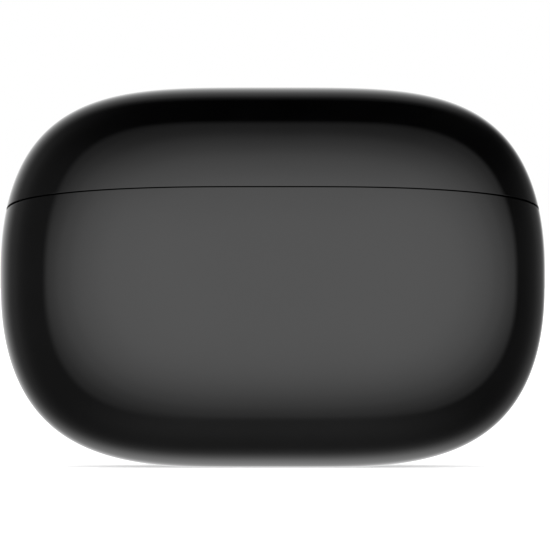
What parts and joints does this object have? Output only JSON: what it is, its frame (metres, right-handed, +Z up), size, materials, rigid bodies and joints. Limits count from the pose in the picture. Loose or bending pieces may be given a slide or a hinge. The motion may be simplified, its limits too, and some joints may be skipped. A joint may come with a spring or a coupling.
{
  "type": "wireless earbuds case",
  "caption": "Pillow-shaped gloss-black clamshell charging case for wireless earbuds, with a hinged lid, lined pockets, a rear pairing button and a charging port underneath.",
  "frame": {"origin": "on the resting plane, under the middle of the case", "axes": "+Z up, +X to the right as seen from the front, the front faces -Y, the hinge is at +Y"},
  "size_m": [0.0632, 0.026, 0.044],
  "materials": {
    "shell_gloss_black": "piano-black polished moulding, very smooth",
    "inner_satin_black": "fine satin texture",
    "button_gloss_black": "polished moulding",
    "frame_plastic": "fine spark-eroded grain",
    "hinge_steel": "fine-brushed steel with black nickel plating",
    "pin_steel": "ground steel",
    "spring_steel": "drawn spring wire",
    "screw_steel": "black-zinc plated",
    "magnet_nickel": "nickel plate",
    "board_mask": "solder mask over copper",
    "chip_package": "moulded epoxy",
    "capacitor_ceramic": "fired ceramic with tinned ends",
    "connector_plastic": "natural nylon",
    "battery_foil": "laminated foil pouch",
    "foam_pad": "open-cell foam",
    "lead_red": "silicone jacket",
    "lead_black": "silicone jacket",
    "port_steel": "bright drawn steel",
    "tongue_plastic": "glass-filled nylon",
    "contact_gold": "gold flash",
    "flex_film": "polyimide film over copper",
    "light_pipe_clear": "milky clear moulding",
    "led_package": "white package with clear lens",
    "bumper_rubber": "soft moulded rubber"
  },
  "bodies": {
    "root": {"base_shell": "shell_gloss_black", "cradle": "inner_satin_black", "mid_frame": "frame_plastic", "chassis_screws": "screw_steel", "hinge_base_screws": "screw_steel", "hinge_base_bracket": "hinge_steel", "hinge_pin": "pin_steel", "hinge_springs": "spring_steel", "base_magnets": "magnet_nickel", "earbud_magnets": "magnet_nickel", "main_pcb": "board_mask", "charger_ic": "chip_package", "microcontroller": "chip_package", "power_inductor": "chip_package", "hall_sensor": "chip_package", "battery_connector": "connector_plastic", "capacitors": "capacitor_ceramic", "battery_cell": "battery_foil", "battery_protection_board": "board_mask", "battery_foam_pad": "foam_pad", "battery_lead_positive": "lead_red", "battery_lead_negative": "lead_black", "usb_c_shell": "port_steel", "usb_c_tongue": "tongue_plastic", "usb_c_contacts": "contact_gold", "tact_switch": "port_steel", "button_board": "board_mask", "light_pipe": "light_pipe_clear", "status_led": "led_package", "light_flex": "flex_film", "contact_board_left": "board_mask", "contact_flex_left": "flex_film", "contact_barrels_left": "contact_gold", "contact_spring_left_a": "spring_steel", "contact_spring_left_b": "spring_steel", "contact_board_right": "board_mask", "contact_flex_right": "flex_film", "contact_barrels_right": "contact_gold", "contact_spring_right_a": "spring_steel", "contact_spring_right_b": "spring_steel"},
    "lid": {"lid_shell": "shell_gloss_black", "lid_liner": "inner_satin_black", "lid_magnets": "magnet_nickel", "lid_sensor_magnet": "magnet_nickel", "lid_bumpers": "bumper_rubber", "hinge_lid_brackets": "hinge_steel", "hinge_lid_screws": "screw_steel"},
    "button": {"pairing_button": "button_gloss_black", "switch_plunger": "connector_plastic"},
    "plunger_left_a": {"contact_plunger_left_a": "contact_gold"},
    "plunger_left_b": {"contact_plunger_left_b": "contact_gold"},
    "plunger_right_a": {"contact_plunger_right_a": "contact_gold"},
    "plunger_right_b": {"contact_plunger_right_b": "contact_gold"}
  },
  "joints": [
    {"name": "lid_hinge", "type": "hinge", "parent": "root", "child": "lid", "pos_m": [0, 0.0116, 0.02687], "axis": [-1, 0, 0], "range_deg": [0, 100], "deforming": ["hinge_springs"]},
    {"name": "button_press", "type": "slide", "parent": "root", "child": "button", "axis": [0, -1, 0], "range_m": [0, 0.00025], "stiffness_N_per_m": 6000, "springref_m": -0.0001},
    {"name": "plunger_left_a_press", "type": "slide", "parent": "root", "child": "plunger_left_a", "axis": [0, 0, -1], "range_m": [0, 0.0007], "stiffness_N_per_m": 300, "springref_m": -0.0005, "deforming": ["contact_spring_left_a"]},
    {"name": "plunger_left_b_press", "type": "slide", "parent": "root", "child": "plunger_left_b", "axis": [0, 0, -1], "range_m": [0, 0.0007], "stiffness_N_per_m": 300, "springref_m": -0.0005, "deforming": ["contact_spring_left_b"]},
    {"name": "plunger_right_a_press", "type": "slide", "parent": "root", "child": "plunger_right_a", "axis": [0, 0, -1], "range_m": [0, 0.0007], "stiffness_N_per_m": 300, "springref_m": -0.0005, "deforming": ["contact_spring_right_a"]},
    {"name": "plunger_right_b_press", "type": "slide", "parent": "root", "child": "plunger_right_b", "axis": [0, 0, -1], "range_m": [0, 0.0007], "stiffness_N_per_m": 300, "springref_m": -0.0005, "deforming": ["contact_spring_right_b"]}
  ]
}
